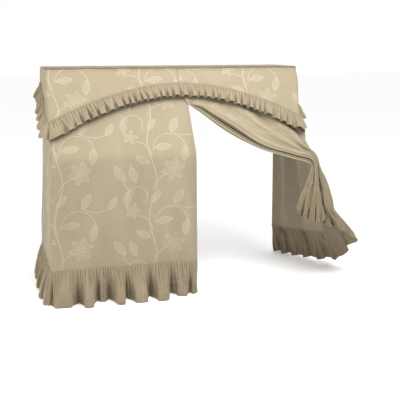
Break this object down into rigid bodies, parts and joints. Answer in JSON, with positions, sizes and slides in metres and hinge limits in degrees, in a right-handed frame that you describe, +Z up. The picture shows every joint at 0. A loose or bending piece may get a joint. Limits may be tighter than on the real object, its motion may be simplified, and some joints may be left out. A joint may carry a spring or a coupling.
{
  "type": "piano cover",
  "caption": "Floor-length ruffled cloth cover for an upright piano: flat top, arched valance, and front curtains that part at the middle, with the right one drawn aside.",
  "frame": {"origin": "middle of the top panel's underside, where the cover rests on the piano's lid", "axes": "+X to the viewer's right along the cover's width, -Y towards the front (the key side), +Z up"},
  "size_m": [1.8947, 0.7643, 1.2813],
  "materials": {
    "cover_cloth": "woven cloth, soft sheen",
    "ruffle_cloth": "woven cloth, gathered"
  },
  "bodies": {
    "root": {"top_panel": "cover_cloth", "back_flap": "cover_cloth", "valance_front_left": "cover_cloth", "valance_front_right": "cover_cloth", "valance_side_left": "cover_cloth", "valance_side_right": "cover_cloth", "valance_ruffle_front_left": "ruffle_cloth", "valance_ruffle_front_right": "ruffle_cloth", "valance_ruffle_side_left": "ruffle_cloth", "valance_ruffle_side_right": "ruffle_cloth", "curtain_front_left": "cover_cloth", "curtain_front_right": "cover_cloth", "curtain_side_left": "cover_cloth", "curtain_side_right": "cover_cloth", "hem_ruffle_front_left": "ruffle_cloth", "hem_ruffle_front_right": "ruffle_cloth", "hem_ruffle_side_left": "ruffle_cloth", "hem_ruffle_side_right": "ruffle_cloth"}
  },
  "joints": []
}
